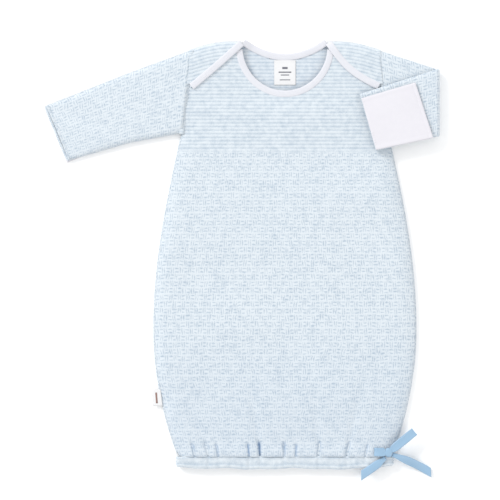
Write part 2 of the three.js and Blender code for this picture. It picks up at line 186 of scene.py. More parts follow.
def side_half(y):
    y = np.asarray(y, float)
    up = np.clip((ARMPIT_Y - y) / (ARMPIT_Y - WIDEST_Y), 0, 1)
    down = np.clip((WIDEST_Y - y) / (WIDEST_Y - HEM_Y), 0, 1)
    upper = ARMPIT_HALF + (SKIRT_HALF - ARMPIT_HALF) * np.sin(np.pi / 2 * up)
    lower = HEM_HALF + (SKIRT_HALF - HEM_HALF) * np.cos(np.pi / 2 * down) ** 0.8
    arm = mix(ARMPIT_HALF, SHOULDER_HALF, (y - ARMPIT_Y) / (SHOULDER_Y - ARMPIT_Y))
    return np.where(y > ARMPIT_Y, arm, np.where(y > WIDEST_Y, upper, lower))


def shoulder_y(x):
    t = (np.abs(x) - NECK_HALF) / (SHOULDER_HALF - NECK_HALF)
    return NECK_Y - 9 * MM * t + 3.5 * MM * np.sin(np.pi * np.clip(t, 0, 1))


def back_neck_y(x):
    return NECK_Y - BACK_NECK_DIP * (1 - (x / NECK_HALF) ** 2)


print("body", round(2e3 * SKIRT_HALF), "mm wide,", round(1e3 * (NECK_Y - HEM_Y)), "mm long")

# %% [markdown]
# ## The lie of the front
# The front lies over the back like a loose sheet: it rises from the side seams, stands a little
# higher over the skirt, and the elastic draws it into short sharp gathers above the hem that run
# out into long soft folds.

# %% Height of the front panel
GATHERS = [-108, -92, -80, -43, -30, -1, 13, 40, 74, 96]      # mm from the centre line, at the hem
GATHER_DEPTH = [2.2, 2.4, 1.8, 2.0, 3.0, 2.4, 1.6, 2.6, 2.4, 1.4]
FOLDS = [(-30, -44, 100, 1.5), (40, 36, 70, 1.1), (74, 96, 95, 1.3), (-92, -118, 60, 0.9)]


def creases(x, y):
    """Share of each gather's own depth, 1 in the bottom of its crease."""
    up = y - HEM_TOP_Y + 4 * MM
    for at, depth in zip(GATHERS, GATHER_DEPTH):
        lean = 0.05 * at * MM * np.clip(up / (20 * MM), 0, 1)
        width = 1.15 * MM + 0.06 * np.clip(up, 0, 1)
        tall = (13 + 2.5 * depth) * MM
        yield depth, smooth(tall, 0.6 * tall, up) * np.exp(-(((x - at * MM - lean) / width) ** 2))


def hem_gathers(x, y):
    """Depth of the gathers below the smooth cloth."""
    up = y - HEM_TOP_Y
    dip = np.zeros_like(x)
    for depth, share in creases(x, y):
        dip += 1.3 * depth * MM * share
    for start, end, length, depth in FOLDS:
        t = np.clip(up / (length * MM), 0, 1)
        middle = mix(start, end, t) * MM
        width = mix(3.0, 8.0, t) * MM
        dip += depth * MM * (1 - t) ** 0.7 * (t < 1) * np.exp(-(((x - middle) / width) ** 2))
    return dip


def ripple(x, y):
    """The slow unevenness of cloth that has been smoothed by hand."""
    waves = [(23, 11, 0.4), (-17, 19, 2.1), (9, -27, 4.0), (31, 5, 5.2), (5, 37, 1.1)]
    return sum(np.sin(a * x * 2 + b * y * 2 + phase) for a, b, phase in waves) * 0.22 * MM


def front_height(x, y):
    step = 1.6 * MM * smooth(LAP_TIP_Y - 28 * MM, LAP_TIP_Y - 8 * MM, y)
    puff = (FRONT_HIGH - SLEEVE_HIGH) * (1 - smooth(60 * MM, 115 * MM, y))
    crown = SLEEVE_HIGH - step + puff
    above = np.clip(y - ARMPIT_Y, 0, 1)
    to_side = np.hypot(np.clip(side_half(y) - np.abs(x), 0, 1), above)
    t = np.clip(np.minimum(to_side, np.clip(shoulder_y(x) - y, 0, 1)) / (26 * MM), 0, 1)
    by_tab = (x < 0) * np.exp(-(((y - TAB_Y) / (17 * MM)) ** 2))
    height = 2.2 * MM + (crown - 2.2 * MM) * np.clip(1 - (1 - t) ** 2.4, 0, 1) ** (0.5 + by_tab)
    height = height + 1.5 * MM * t * smooth(HEM_TOP_Y + 12 * MM, HEM_TOP_Y - 1 * MM, y)
    return height + (ripple(x, y) - hem_gathers(x, y)) * smooth(0, 0.5, t)


print("front stands", round(1e3 * float(front_height(np.array(0.0), np.array(0.0))), 1), "mm high")

# %% [markdown]
# ## A knitted shell
# Every knitted piece is a grid whose lines follow the wales and courses, so the basket blocks of
# the jacquard land on whole grid cells. The outer side is fine enough to carry their relief; the
# inner side, which nobody sees closely, uses one face where the outer side has twelve. A rim
# closes the two. The grid's cell numbers also become the UV map, so the colour pattern of the
# shader falls exactly on the relief.

# %% Basket and ridge relief


def pulse(t, sharp):
    return np.abs(np.sin(np.pi * t)) ** sharp


def knit_relief(across, along, basket):
    """0 in the valleys to 1 on the raised stitches. basket is 1 for blocks and 0 for ridges."""
    block = (np.floor(across + 1e-6) + np.floor(along / 2 + 1e-6)) % 2
    lying = 1 - (1 - pulse(along + 0.5, 0.9)) * pulse(across, 0.5)
    standing = 1 - (1 - pulse(2 * across + 0.5, 0.9)) * pulse(along / 2, 0.5)
    blocks = np.where(block < 0.5, lying, standing)
    return mix(pulse(along, 0.8), blocks, basket)

# %% Shell of cloth


def link(name, mesh, finish):
    piece = bpy.data.objects.new(name, mesh)
    bpy.context.scene.collection.objects.link(piece)
    mesh.materials.clear()
    mesh.materials.append(finish)
    mesh.polygons.foreach_set("use_smooth", [True] * len(mesh.polygons))
    return piece


def knit_shell(name, points, cells, finish, thick=CLOTH, basket=None, height=0.0, coarse=(1, 1),
               wrap=False, keep=None, flip=False, shade=None):
    """A closed shell of cloth on a grid of points, (across, along, 3)."""
    nu, nv = points.shape[:2]
    du = np.roll(points, -1, 0) - np.roll(points, 1, 0) if wrap else np.gradient(points, axis=0)
    dv = np.gradient(points, axis=1)
    normal = np.cross(du, dv) * (-1 if flip else 1)
    normal /= np.maximum(np.linalg.norm(normal, axis=2, keepdims=True), 1e-12)
    zone = np.ones((nu, nv)) if basket is None else basket
    outer = points + normal * (height * knit_relief(cells[..., 0], cells[..., 1], zone))[..., None]
    inner = points - normal * thick
    ku, kv = coarse
    cu, cv = (nu if wrap else nu - 1) // ku, (nv - 1) // kv
    kept = np.ones((cu, cv), bool) if keep is None else keep
    back = -np.ones((nu, nv), int)
    verts = [outer.reshape(-1, 3)]
    count = nu * nv
    faces, corners = [], []

    def top(i, j):
        return (i % nu) * nv + j

    def bottom(i, j):
        nonlocal count
        i = i % nu
        if back[i, j] < 0:
            back[i, j] = count
            verts.append(inner[i, j][None])
            count += 1
        return back[i, j]

    def face(ring):
        faces.append([at(i, j) for at, i, j in (ring if flip else ring[::-1])])
        corners.extend((i, j) for _, i, j in (ring if flip else ring[::-1]))

    fine = np.repeat(np.repeat(kept, ku, 0), kv, 1)
    for i, j in zip(*np.nonzero(fine)):
        face([(top, i, j), (top, i, j + 1), (top, i + 1, j + 1), (top, i + 1, j)])

    def open_side(i, j):
        if j < 0 or j >= cv or (not wrap and (i < 0 or i >= cu)):
            return True
        return not kept[i % cu, j]

    for i, j in zip(*np.nonzero(kept)):
        a, b, c, d = i * ku, (i + 1) * ku, j * kv, (j + 1) * kv
        sides = [
            ([(a, y) for y in range(c, d + 1)], open_side(i - 1, j)),
            ([(x, d) for x in range(a, b + 1)], open_side(i, j + 1)),
            ([(b, y) for y in range(d, c - 1, -1)], open_side(i + 1, j)),
            ([(x, c) for x in range(b, a - 1, -1)], open_side(i, j - 1)),
        ]
        ring = []
        for line, is_open in sides:
            ring += line[:-1] if is_open else line[:1]
            if is_open:
                for p, q in zip(line[:-1], line[1:]):
                    face([(top, *q), (top, *p), (bottom, *p), (bottom, *q)])
        face([(bottom, *p) for p in ring[::-1]])
    mesh = bpy.data.meshes.new(name)
    mesh.from_pydata(np.concatenate(verts).tolist(), [], faces)
    corner = np.array(corners)
    lap = cells[-1, 0] - cells[0, 0] + cells[1, 0] - cells[0, 0]
    uv = cells[corner[:, 0] % nu, corner[:, 1]] + (corner[:, :1] // nu) * lap
    layer = mesh.uv_layers.new(name="UVMap")
    layer.data.foreach_set("uv", uv.ravel())
    value = np.ones(len(mesh.vertices))
    value[:nu * nv] = zone.ravel()
    held = back >= 0
    value[back[held]] = zone[held]
    mesh.attributes.new("basket", "FLOAT", "POINT").data.foreach_set("value", value)
    # Painted shade: an optional amount for each outer point, stored as a vertex attribute that
    # darkens the colour.
    if shade is not None:
        depth = np.zeros(len(mesh.vertices))
        depth[:nu * nv] = shade.ravel()
        mesh.attributes.new("crease_shade", "FLOAT", "POINT").data.foreach_set("value", depth)
    loose = np.ones(len(mesh.vertices), bool)
    loose[np.concatenate([np.asarray(f) for f in faces])] = False
    if loose.any():
        work = bmesh.new()
        work.from_mesh(mesh)
        work.verts.ensure_lookup_table()
        bmesh.ops.delete(work, geom=[work.verts[i] for i in np.nonzero(loose)[0]], context="VERTS")
        work.to_mesh(mesh)
        work.free()
    piece = link(name, mesh, finish)
    print(name, len(mesh.polygons), "faces")
    return piece

# %% [markdown]
# Seams, bindings, the hem and the ribbon are a small section carried along a line. That keeps their
# width where the line bends, and closes each piece at both ends or all the way round.

# %% Swept pieces


def sweep(name, line, side, profile, finish, closed=False, cells=(1.0, 5 * MM), basket=0.0,
          turned=False):
    """A closed solid swept along line. profile holds (sideways, upward) pairs, one loop for all
    the stations or one loop for each of them."""
    line = np.asarray(line, float)
    n = len(line)
    side = np.broadcast_to(np.asarray(side, float), (n, 3))
    side = side / np.linalg.norm(side, axis=1, keepdims=True)
    if closed:
        along = np.roll(line, -1, 0) - np.roll(line, 1, 0)
    else:
        along = np.gradient(line, axis=0)
    up = np.cross(along, side)
    up /= np.linalg.norm(up, axis=1, keepdims=True)
    profile = np.broadcast_to(np.asarray(profile, float), (n, *np.asarray(profile).shape[-2:]))
    m = profile.shape[1]
    points = line[:, None] + side[:, None] * profile[..., :1] + up[:, None] * profile[..., 1:]
    length = np.concatenate([[0], np.cumsum(np.linalg.norm(np.diff(line, axis=0), axis=1))])
    length = np.append(length, length[-1] + np.linalg.norm(line[0] - line[-1]))
    faces, uv = [], []
    for i in range(n if closed else n - 1):
        for j in range(m):
            a, b = (i, j), (i, j + 1)
            c, d = (i + 1, j + 1), (i + 1, j)
            faces.append([(p % n) * m + q % m for p, q in (a, b, c, d)])
            uv += [(q / m * cells[0], length[p] / cells[1]) for p, q in (a, b, c, d)]
    if not closed:
        for i, ring in ((0, range(m)), (n - 1, range(m))):
            order = list(ring)[::-1] if i == 0 else list(ring)
            faces.append([i * m + j for j in order])
            uv += [(j / m * cells[0], length[i] / cells[1]) for j in order]
    mesh = bpy.data.meshes.new(name)
    mesh.from_pydata(points.reshape(-1, 3).tolist(), [], faces)
    uv = np.array(uv)[:, ::-1] if turned else np.array(uv)
    mesh.uv_layers.new(name="UVMap").data.foreach_set("uv", uv.ravel())
    # Swept pieces get no painted shade.
    for attribute, value in (("basket", basket), ("crease_shade", 0.0)):
        mesh.attributes.new(attribute, "FLOAT", "POINT").data.foreach_set(
            "value", np.broadcast_to(value, (n, m)).astype(float).ravel())
    piece = link(name, mesh, finish)
    outward(piece)
    print(name, len(mesh.polygons), "faces")
    return piece


def outward(piece):
    """Turn the faces of a closed mesh outward."""
    mesh = piece.data
    mesh.calc_loop_triangles()
    at = np.empty(len(mesh.vertices) * 3)
    mesh.vertices.foreach_get("co", at)
    at = at.reshape(-1, 3)
    tri = np.empty(len(mesh.loop_triangles) * 3, int)
    mesh.loop_triangles.foreach_get("vertices", tri)
    a, b, c = at[tri.reshape(-1, 3)].transpose(1, 0, 2)
    if np.einsum("ij,ij->i", a, np.cross(b, c)).sum() < 0:
        mesh.flip_normals()

# %% Sections and lines


def oval(width, height, n=20, power=2.0):
    """A rounded band, width by height, as a loop of (sideways, upward) pairs."""
    a = np.linspace(0, 2 * np.pi, n, endpoint=False)
    c, s = np.cos(a), np.sin(a)
    return np.stack([width / 2 * np.sign(c) * np.abs(c) ** (2 / power),
                     height / 2 * np.sign(s) * np.abs(s) ** (2 / power)], 1)


def resample(points, step):
    points = np.asarray(points, float)
    length = np.concatenate([[0], np.cumsum(np.linalg.norm(np.diff(points, axis=0), axis=1))])
    at = np.linspace(0, length[-1], max(2, round(length[-1] / step) + 1))
    return np.stack([np.interp(at, length, points[:, k]) for k in range(points.shape[1])], 1)


def flat_side(line):
    """The level direction square to a line."""
    along = np.gradient(np.asarray(line, float), axis=0)
    return np.stack([-along[:, 1], along[:, 0], np.zeros(len(along))], 1)


print("a bound edge is", round(1e3 * float(np.ptp(oval(BINDING, 2 * MM)[:, 0])), 1), "mm wide")

# %% [markdown]
# ## Materials
# One node group turns the UV cell numbers into the jacquard: dashes in one block, bars in the
# next. It repeats the relief's own rule, so the white yarn always lies on the raised stitches.
# A second group gives every cloth the same fine yarn grain for its bump and its colour.


# %% Node groups
def math_node(tree, operation, a, b=0.5):
    node = tree.nodes.new("ShaderNodeMath")
    node.operation = operation
    for socket, value in zip(node.inputs, (a, b)):
        if hasattr(value, "links"):
            tree.links.new(value, socket)
        else:
            socket.default_value = value
    return node.outputs[0]


def mix_value(tree, a, b, factor):
    return math_node(tree, "ADD", a, math_node(
        tree, "MULTIPLY", math_node(tree, "SUBTRACT", b, a), factor))


def pulse_nodes(tree, value, turns, sharp, wave="SINE"):
    wave = math_node(tree, wave, math_node(tree, "MULTIPLY", value, math.pi * turns))
    return math_node(tree, "POWER", math_node(tree, "ABSOLUTE", wave), sharp)


def new_group(name, inputs, outputs):
    tree = bpy.data.node_groups.new(name, "ShaderNodeTree")
    for label, kind, value in inputs:
        socket = tree.interface.new_socket(label, in_out="INPUT", socket_type=kind)
        if value is not None:
            socket.default_value = value
    for label, kind in outputs:
        tree.interface.new_socket(label, in_out="OUTPUT", socket_type=kind)
    return tree, tree.nodes.new("NodeGroupInput"), tree.nodes.new("NodeGroupOutput")

# %% Jacquard group
jacquard, taken, given = new_group(
    "jacquard", [("Cells", "NodeSocketVector", None), ("Basket", "NodeSocketFloat", 1.0)],
    [("Mask", "NodeSocketFloat")])
split = jacquard.nodes.new("ShaderNodeSeparateXYZ")
where = jacquard.nodes.new("ShaderNodeTexCoord")
wander = jacquard.nodes.new("ShaderNodeTexNoise")
wander.inputs["Scale"].default_value = 90
wander.inputs["Detail"].default_value = 3
jacquard.links.new(where.outputs["Object"], wander.inputs["Vector"])
shift = jacquard.nodes.new("ShaderNodeVectorMath")
shift.operation = "MULTIPLY_ADD"
jacquard.links.new(wander.outputs["Color"], shift.inputs[0])
shift.inputs[1].default_value = (1.1, 1.1, 0)
jacquard.links.new(taken.outputs["Cells"], shift.inputs[2])
centred = jacquard.nodes.new("ShaderNodeVectorMath")
centred.operation = "SUBTRACT"
jacquard.links.new(shift.outputs[0], centred.inputs[0])
centred.inputs[1].default_value = (0.55, 0.55, 0)
jacquard.links.new(centred.outputs[0], split.inputs[0])
across, along = split.outputs[0], split.outputs[1]
block = math_node(jacquard, "FLOORED_MODULO", math_node(
    jacquard, "ADD", math_node(jacquard, "FLOOR", across),
    math_node(jacquard, "FLOOR", math_node(jacquard, "MULTIPLY", along, 0.5))), 2.0)


def dark_lines(value, turns, other, other_turns):
    """White but for blue lines across value that stop short of the block's ends."""
    blue = math_node(jacquard, "SUBTRACT", 1.0, pulse_nodes(jacquard, value, turns, 0.9, "COSINE"))
    ends = pulse_nodes(jacquard, other, other_turns, 0.5)
    return math_node(jacquard, "SUBTRACT", 1.0, math_node(jacquard, "MULTIPLY", blue, ends))


dashes = dark_lines(along, 1, across, 1)
bars = dark_lines(across, 2, along, 0.5)
blocks = mix_value(jacquard, dashes, bars, block)
straight = jacquard.nodes.new("ShaderNodeSeparateXYZ")
jacquard.links.new(taken.outputs["Cells"], straight.inputs[0])
ridge_wave = pulse_nodes(jacquard, straight.outputs[1], 1, 0.8)
ridges = math_node(jacquard, "MULTIPLY_ADD", ridge_wave, 0.6)
ridges.node.inputs[2].default_value = 0.27
mask = mix_value(jacquard, ridges, blocks, taken.outputs["Basket"])
jacquard.links.new(mask, given.inputs["Mask"])

# %% Yarn grain group
yarn, taken, given = new_group(
    "yarn_grain", [("Scale", "NodeSocketFloat", 900.0)],
    [("Grain", "NodeSocketFloat"), ("Slub", "NodeSocketFloat")])
place = yarn.nodes.new("ShaderNodeTexCoord")
fine = yarn.nodes.new("ShaderNodeTexNoise")
fine.inputs["Detail"].default_value = 3
yarn.links.new(place.outputs["Object"], fine.inputs["Vector"])
yarn.links.new(taken.outputs["Scale"], fine.inputs["Scale"])
broad = yarn.nodes.new("ShaderNodeTexNoise")
broad.inputs["Scale"].default_value = 160
broad.inputs["Detail"].default_value = 2
yarn.links.new(place.outputs["Object"], broad.inputs["Vector"])
yarn.links.new(fine.outputs[0], given.inputs["Grain"])
yarn.links.new(broad.outputs[0], given.inputs["Slub"])
print("node groups", [tree.name for tree in bpy.data.node_groups])


# %% [markdown]
# Colours are written as they should look under the studio light, which is a little brighter than
# one so that the table comes out white, and are turned into linear light here.


# %% Cloth materials
LIGHT = 1.265               # how much brighter than its colour a level surface comes out


def screen(red, green, blue):
    linear = [c / 12.92 if c <= 0.04045 else ((c + 0.055) / 1.055) ** 2.4
              for c in (red / 255, green / 255, blue / 255)]
    return (*(c / LIGHT for c in linear), 1)


def cloth_finish(name, low, high, grain_scale=900.0, bump=0.25, jacquard_knit=False, roughness=0.9,
                 sheen=0.25):
    finish = bpy.data.materials.new(name)
    finish.use_nodes = True
    tree = finish.node_tree
    shader = tree.nodes["Principled BSDF"]
    shader.inputs["Roughness"].default_value = roughness
    shader.inputs["Specular IOR Level"].default_value = 0.15
    shader.inputs["Sheen Weight"].default_value = sheen
    grain = tree.nodes.new("ShaderNodeGroup")
    grain.node_tree = yarn
    grain.inputs["Scale"].default_value = grain_scale
    uneven = math_node(tree, "ADD", math_node(tree, "SUBTRACT", grain.outputs["Grain"], 0.5),
                       math_node(tree, "SUBTRACT", grain.outputs["Slub"], 0.5))
    fuzz = math_node(tree, "MULTIPLY", uneven, 1.2 if jacquard_knit else 0.4)
    if jacquard_knit:
        cells = tree.nodes.new("ShaderNodeUVMap")
        cells.uv_map = "UVMap"
        zone = tree.nodes.new("ShaderNodeAttribute")
        zone.attribute_name = "basket"
        pattern = tree.nodes.new("ShaderNodeGroup")
        pattern.node_tree = jacquard
        tree.links.new(cells.outputs[0], pattern.inputs["Cells"])
        tree.links.new(zone.outputs["Fac"], pattern.inputs["Basket"])
        base = pattern.outputs["Mask"]
    else:
        base = math_node(tree, "ADD", 0.5, 0.0)
    amount = math_node(tree, "ADD", base, fuzz)
    ramp = tree.nodes.new("ShaderNodeMix")
    ramp.data_type = "RGBA"
    tree.links.new(amount, ramp.inputs["Factor"])
    ramp.inputs["A"].default_value = screen(*low)
    ramp.inputs["B"].default_value = screen(*high)
    # Painted shade: a vertex attribute mixes the colour towards the darker blue below, in the
    # gathers and near the hem.
    shade_mix = tree.nodes.new("ShaderNodeMix")
    shade_mix.data_type = "RGBA"
    crease_shade = tree.nodes.new("ShaderNodeAttribute")
    crease_shade.attribute_name = "crease_shade"
    tree.links.new(crease_shade.outputs["Fac"], shade_mix.inputs["Factor"])
    tree.links.new(ramp.outputs["Result"], shade_mix.inputs["A"])
    shade_mix.inputs["B"].default_value = screen(132, 166, 205)
    tree.links.new(shade_mix.outputs["Result"], shader.inputs["Base Color"])
    rise = tree.nodes.new("ShaderNodeBump")
    rise.inputs["Strength"].default_value = bump
    rise.inputs["Distance"].default_value = 0.4 * MM
    tree.links.new(grain.outputs["Grain"], rise.inputs["Height"])
    tree.links.new(rise.outputs[0], shader.inputs["Normal"])
    return finish

# %% Finishes
knit = cloth_finish("knit_jacquard", (184, 200, 215), (232, 240, 246), jacquard_knit=True)
knit_inside = cloth_finish("knit_inside", (180, 197, 214), (230, 238, 245), jacquard_knit=True)
binding_white = cloth_finish("binding_white", (226, 228, 237), (246, 246, 250), 1100.0)
mitt_white = cloth_finish("mitt_white", (234, 232, 239), (247, 245, 250), 1300.0, 0.15)
label_white = cloth_finish("label_woven", (240, 240, 242), (253, 253, 253), 1500.0, 0.1)
label_grey = cloth_finish("label_print", (120, 122, 130), (140, 142, 150), 1500.0, 0.1)
tab_brown = cloth_finish("tab_print", (150, 120, 112), (172, 142, 134), 1500.0, 0.1)
thread = cloth_finish("thread_white", (232, 236, 243), (250, 251, 253), 2000.0, 0.1)
elastic_white = cloth_finish("elastic_white", (225, 225, 225), (240, 240, 240), 1500.0, 0.1)
satin = cloth_finish("ribbon_satin", (149, 188, 220), (169, 202, 229), 2600.0, 0.05,
                     roughness=0.34, sheen=0.1)
satin_shader = satin.node_tree.nodes["Principled BSDF"]
satin_shader.inputs["Specular IOR Level"].default_value = 0.6
satin_shader.inputs["Anisotropic"].default_value = 0.5
print("materials", len(bpy.data.materials))

# %% [markdown]
# ## Front and back
# The grid lines of the front fan out with its sides, and its courses stay level, so the blocks get
# wider towards the skirt as the real gathers do. Rows are ridges on the yoke and baskets below it.
# Cells in the neckline and past the shoulders are left out; the bindings and laps cover their edge.

# %% Front and back panels
COLUMNS = 60
COURSE = 4.1 * MM
RIDGE = 4.3 * MM


def body_grid(inset, per_column, per_row, top, bottom):
    """Points and cell numbers of a body panel, level rows from bottom to top."""
    skirt_rows = round((YOKE_Y - bottom) / COURSE / 2) * 2
    yoke_rows = math.ceil((top - YOKE_Y) / RIDGE)
    courses = np.arange(-skirt_rows * per_row, yoke_rows * per_row + 1) / per_row
    y = np.where(courses < 0, YOKE_Y + courses * (YOKE_Y - bottom) / skirt_rows,
                 YOKE_Y + courses * RIDGE)
    lines = np.arange(COLUMNS * per_column + 1) / per_column
    share = lines / COLUMNS * 2 - 1
    held_in = np.where(y > ARMPIT_Y, -0.5 * MM, inset)
    xs = share[:, None] * (side_half(y) - held_in)[None]
    ys = np.broadcast_to(y, xs.shape)
    cells = np.stack(np.broadcast_arrays(lines[:, None], courses[None]), 2)
    zone = np.broadcast_to(smooth(0.5, -0.5, courses), xs.shape)
    return xs, ys, cells, zone


def cell_keep(xs, ys, ku, kv, inside):
    cx = (xs[:-1:ku, :-1:kv] + xs[ku::ku, kv::kv]) / 2
    cy = (ys[:-1:ku, :-1:kv] + ys[ku::ku, kv::kv]) / 2
    return inside(cx, cy)


def on_front(x, y):
    neck = (x / FRONT_NECK[0]) ** 2 + ((FRONT_NECK_TOP - y) / FRONT_NECK[1]) ** 2
    return ((neck > 1.0) | (y > FRONT_NECK_TOP)) & (y < shoulder_y(x) - 6 * MM) & (
        np.abs(x) > np.where(y > FRONT_NECK_TOP, FRONT_NECK[0], 0))

# %% Front panel
xs, ys, cells, zone = body_grid(1.5 * MM, 4, 3, NECK_Y, HEM_TOP_Y - 5.5 * MM)
# Painted shade: a darker blue is painted along the bottom of each hem gather, and a little more
# towards the hem.
painted_crease_shade = sum(0.36 * depth * share ** 1.6 for depth, share in creases(xs, ys))
painted_crease_shade = np.clip(painted_crease_shade + 0.08 * smooth(-60 * MM, -215 * MM, ys), 0, 0.85)
front = knit_shell("front_cloth", np.stack([xs, ys, front_height(xs, ys)], 2), cells, knit,
                   basket=zone, height=0.42 * MM, coarse=(4, 3), shade=painted_crease_shade,
                   keep=cell_keep(xs, ys, 4, 3, on_front))
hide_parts("front_panel")
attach(front, "gown")

# %% Back panel
xs, ys, cells, zone = body_grid(3 * MM, 2, 2, NECK_Y, HEM_TOP_Y - 1 * MM)
back = knit_shell("back_cloth", np.stack([xs, ys, np.full(xs.shape, 1.0 * MM)], 2), cells,
                  knit_inside, basket=zone, height=0.3 * MM, coarse=(2, 2), thick=0.9 * MM,
                  keep=cell_keep(xs, ys, 2, 2, lambda x, y: (
                      y < np.where(np.abs(x) < NECK_HALF, back_neck_y(x), shoulder_y(x)) - 3 * MM)))
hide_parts("back_panel")
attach(back, "gown")

# %% [markdown]
# The side seams are where the front rolls over to the back. A rolled edge of the same knit closes
# the two panels from the armpit to the hem.

# %% Side seams and armhole seams
for side_name, hand in (("left", 1), ("right", -1)):
    y = np.arange(HEM_TOP_Y - 1 * MM, ARMPIT_Y + 1 * MM, 2 * MM)
    line = np.stack([hand * (side_half(y) - 1.9 * MM), y, np.full(len(y), 1.55 * MM)], 1)
    seam = sweep(f"side_roll_{side_name}", line, flat_side(line), oval(4.2 * MM, 2.9 * MM, 16),
                 knit, cells=(2, COURSE), basket=1.0)
    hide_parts(f"side_seam_{side_name}")
    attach(seam, "gown")

    y = np.linspace(ARMPIT_Y + 2 * MM, SHOULDER_Y - 3 * MM, 60)
    x = hand * side_half(y)
    top = np.stack([x, y, np.full(60, SLEEVE_HIGH - 1.1 * MM)], 1)
    low = np.stack([x, y, np.full(60, SLEEVE_LOW + 0.6 * MM)], 1)[::-1]
    turn = np.linspace(0, np.pi, 9)[1:-1]
    drop = (top[-1, Z] - low[0, Z]) / 2
    over = np.array([top[-1] + (0, 1.6 * MM * math.sin(a), drop * math.cos(a) - drop)
                     for a in turn])
    under = np.array([low[-1] + (0, -1.6 * MM * math.sin(a), drop - drop * math.cos(a))
                      for a in turn])
    ring = np.concatenate([top, over, low, under])
    seam = sweep(f"armhole_roll_{side_name}", ring, (1, 0, 0), oval(5.4 * MM, 1.8 * MM, 14), knit,
                 closed=True, cells=(1, 2.6 * MM), basket=1.0)
    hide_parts(f"armhole_seam_{side_name}")
    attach(seam, "gown")

# %% [markdown]
# ## Sleeves
# A sleeve is one tube from the armhole to the cuff. Its section is flat, as it lies, with rolled
# edges, and its courses run along it. The left one doubles back over the chest, so its middle line
# goes out, turns up round the fold and comes back one sleeve's thickness higher.


# %% Sleeves
def flat_tube(around, loft, slim=0.07):
    """Sideways and height shares, -1 to 1, evenly spaced round a flattened tube."""
    a = np.linspace(0, 2 * np.pi, 4001)
    c, s = np.cos(a), np.sin(a)
    outline = np.stack([np.sign(c) * np.abs(c) ** 0.62, np.sign(s) * np.abs(s) ** loft * slim], 1)
    length = np.append(0, np.cumsum(np.linalg.norm(np.diff(outline, axis=0), axis=1)))
    at = np.linspace(0, length[-1], around, endpoint=False)
    return np.interp(at, length, outline[:, 0]), np.interp(at, length, outline[:, 1]) / slim


def sleeve_tube(name, stations, slack, per_cell=3, courses=44, per_course=4):
    """stations hold two edge points, the way from the middle to one face, and half the loft."""
    upper, lower, lift, half = (np.asarray(v, float) for v in zip(*stations))
    centre = (upper + lower) / 2
    length = np.concatenate([[0], np.cumsum(np.linalg.norm(np.diff(centre, axis=0), axis=1))])
    count = round(length[-1] / (5.2 * MM)) * per_cell + 1
    at = np.linspace(0, length[-1], count)

    def spread(v):
        return np.stack([np.interp(at, length, v[:, k]) for k in range(3)], 1)

    upper, lower, lift = spread(upper), spread(lower), spread(lift)
    half = np.interp(at, length, half)
    across, height = flat_tube(courses * per_course, 0.55)
    mid, out = (upper + lower) / 2, (upper - lower) / 2
    slow = slack * ripple(mid[None, :, 0] * 2 + across[:, None] * 0.1, mid[None, :, 1] * 2)
    points = (mid[None] + out[None] * across[:, None, None]
              + lift[None] * (half[None] * height[:, None] + slow * (height[:, None] > 0.7)
                              )[..., None])
    cells = np.stack(np.broadcast_arrays(
        (np.arange(count) / per_cell)[None],
        (np.arange(courses * per_course) / per_course)[:, None]), 2)
    return knit_shell(name, points, cells, knit, thick=0.8 * MM, height=0.42 * MM, wrap=True,
                      coarse=(4, 3))

# %% Sleeve sections
middle = (SLEEVE_LOW + SLEEVE_HIGH) / 2
half = (SLEEVE_HIGH - SLEEVE_LOW) / 2 - 0.4 * MM
FOLD_Z = (SLEEVE_HIGH + reach("lower_sleeve_left", LOW, Z)) / 2
FOLD_SPAN = (reach("upper_sleeve_left", LOW, Y), 222.5 * MM)
FOLD_X = 183 * MM            # where the left sleeve starts to turn back
FOLD_BULGE = 1.7 * MM
HEAD = ((111 * MM, 246 * MM), (123 * MM, 147 * MM))         # the two ends of the left armhole
ELBOW_RIGHT = ((-186 * MM, 218.5 * MM), (-186 * MM, 135.5 * MM))
CUFF_ENDS = {"left": ((91.1 * MM, 193 * MM), (110.4 * MM, 125.7 * MM)),
             "right": ((-286.5 * MM, 178.9 * MM), (-259.7 * MM, 114.2 * MM))}
UP, DOWN = (0, 0, 1), (0, 0, -1)


def station(ends, level, lift, half_height):
    """One section of a sleeve, from the plan of its two edges and its height."""
    return (*ends[0], level), (*ends[1], level), lift, half_height


def fold_ends(x):
    return (x, FOLD_SPAN[1]), (x, FOLD_SPAN[0])

# %% Left sleeve
start = [station(HEAD, middle, UP, half), station(fold_ends(FOLD_X), middle, UP, half)]
turning = []
for a in np.linspace(0, np.pi, 13)[1:-1]:
    lift = (-0.5 * math.sin(a), 0, math.cos(a))
    turning.append(station(fold_ends(FOLD_X + FOLD_BULGE * math.sin(a)),
                           FOLD_Z - (FOLD_Z - middle) * math.cos(a), lift,
                           mix(half, 1.4 * MM, math.sin(a))))
high = 2 * FOLD_Z - middle
finish = [station(fold_ends(FOLD_X), high, DOWN, half),
          station(CUFF_ENDS["left"], high, DOWN, half)]
sleeve_left = sleeve_tube("sleeve_left", start + turning + finish, 0.0)
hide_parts("upper_sleeve_left", "lower_sleeve_left")
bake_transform(sleeve_left)

# %% Right sleeve
MOUTH = (1.35, 0.56, 1)     # the front layer ends a little short of the back one
MOUTH_HALF = 0.55 * half    # and the mouth lies flatter than the sleeve
mouth_middle = middle - half + MOUTH_HALF
sleeve_right = sleeve_tube("sleeve_right", [
    station([(-x, y) for x, y in HEAD], middle, UP, half),
    station(ELBOW_RIGHT, middle, UP, half),
    station(CUFF_ENDS["right"], mouth_middle, MOUTH, MOUTH_HALF)], 1.0)
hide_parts("upper_sleeve_right", "lower_sleeve_right")
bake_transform(sleeve_right)

# %% [markdown]
# A rolled edge closes the mouth of each sleeve. The forearm's end is not quite square to it.


# %% Sleeve edges
def mouth_ring(upper, lower, level, lift, half_height, n=72):
    upper, lower = np.array((*upper, level)), np.array((*lower, level))
    across, height = flat_tube(n, 0.55)
    mid, out = (upper + lower) / 2, (upper - lower) / 2
    inside = (half_height - 0.4 * MM) * np.array(lift)
    return mid + out * across[:, None] + inside * height[:, None]


